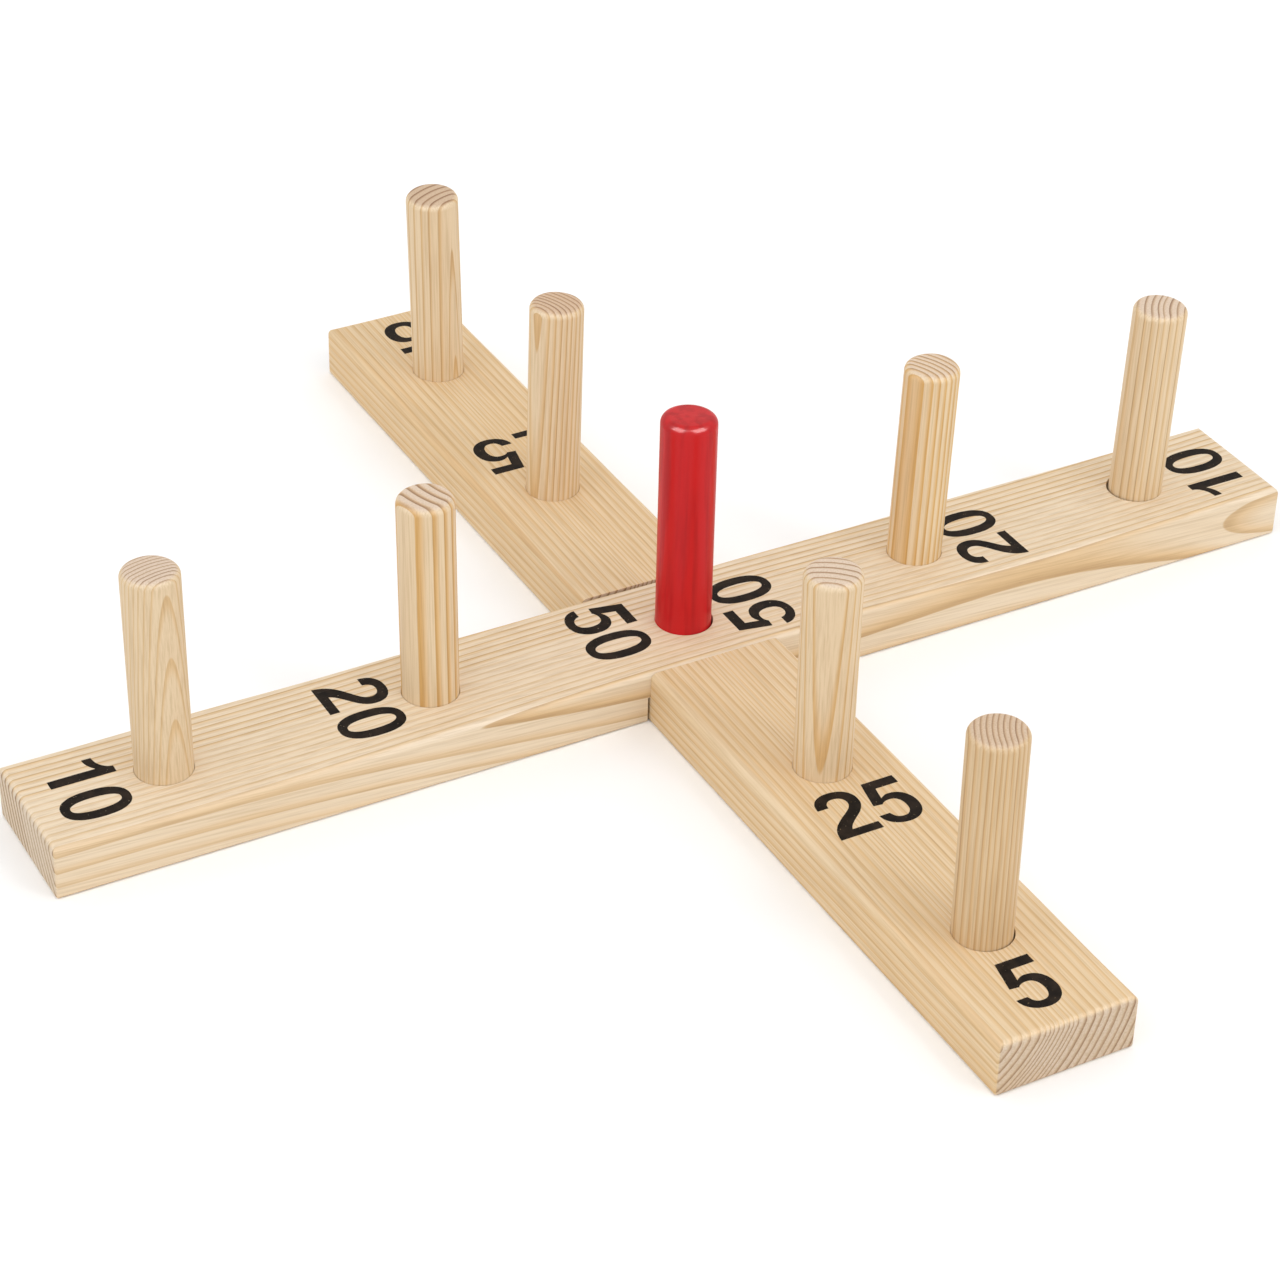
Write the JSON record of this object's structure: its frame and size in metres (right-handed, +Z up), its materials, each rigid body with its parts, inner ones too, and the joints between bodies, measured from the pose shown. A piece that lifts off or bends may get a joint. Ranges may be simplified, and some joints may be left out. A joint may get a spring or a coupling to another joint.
{
  "type": "ring toss set",
  "caption": "Wooden cross base of two half-lapped boards with plug-in round pegs, a red one in the middle, and a printed score beside each peg.",
  "frame": {"origin": "centre of the cross at the height of the ground", "axes": "+X along the upper board, +Y along the lower board towards the back, +Z up along the pegs"},
  "size_m": [0.6, 0.6, 0.1264],
  "materials": {
    "board_pine": "bare sanded pine with black printed numbers",
    "peg_pine": "bare sanded pine dowel",
    "red_lacquer": "glossy red lacquer on wood"
  },
  "bodies": {
    "lower_board": {"lower_board": "board_pine"},
    "upper_board": {"upper_board": "board_pine"},
    "peg_10_left": {"peg_10_left": "peg_pine"},
    "peg_20_left": {"peg_20_left": "peg_pine"},
    "peg_20_right": {"peg_20_right": "peg_pine"},
    "peg_10_right": {"peg_10_right": "peg_pine"},
    "peg_50_centre": {"peg_50_centre": "red_lacquer"},
    "peg_5_front": {"peg_5_front": "peg_pine"},
    "peg_25_front": {"peg_25_front": "peg_pine"},
    "peg_25_back": {"peg_25_back": "peg_pine"},
    "peg_5_back": {"peg_5_back": "peg_pine"}
  },
  "joints": [
    {"name": "upper_board_lift", "type": "slide", "parent": "lower_board", "child": "upper_board", "axis": [0, 0, 1], "range_m": [0, 0.03]},
    {"name": "peg_10_left_pull", "type": "slide", "parent": "upper_board", "child": "peg_10_left", "axis": [0, 0, 1], "range_m": [0, 0.02]},
    {"name": "peg_20_left_pull", "type": "slide", "parent": "upper_board", "child": "peg_20_left", "axis": [0, 0, 1], "range_m": [0, 0.02]},
    {"name": "peg_20_right_pull", "type": "slide", "parent": "upper_board", "child": "peg_20_right", "axis": [0, 0, 1], "range_m": [0, 0.02]},
    {"name": "peg_10_right_pull", "type": "slide", "parent": "upper_board", "child": "peg_10_right", "axis": [0, 0, 1], "range_m": [0, 0.02]},
    {"name": "peg_50_centre_pull", "type": "slide", "parent": "upper_board", "child": "peg_50_centre", "axis": [0, 0, 1], "range_m": [0, 0.02]},
    {"name": "peg_5_front_pull", "type": "slide", "parent": "lower_board", "child": "peg_5_front", "axis": [0, 0, 1], "range_m": [0, 0.02]},
    {"name": "peg_25_front_pull", "type": "slide", "parent": "lower_board", "child": "peg_25_front", "axis": [0, 0, 1], "range_m": [0, 0.02]},
    {"name": "peg_25_back_pull", "type": "slide", "parent": "lower_board", "child": "peg_25_back", "axis": [0, 0, 1], "range_m": [0, 0.02]},
    {"name": "peg_5_back_pull", "type": "slide", "parent": "lower_board", "child": "peg_5_back", "axis": [0, 0, 1], "range_m": [0, 0.02]}
  ]
}
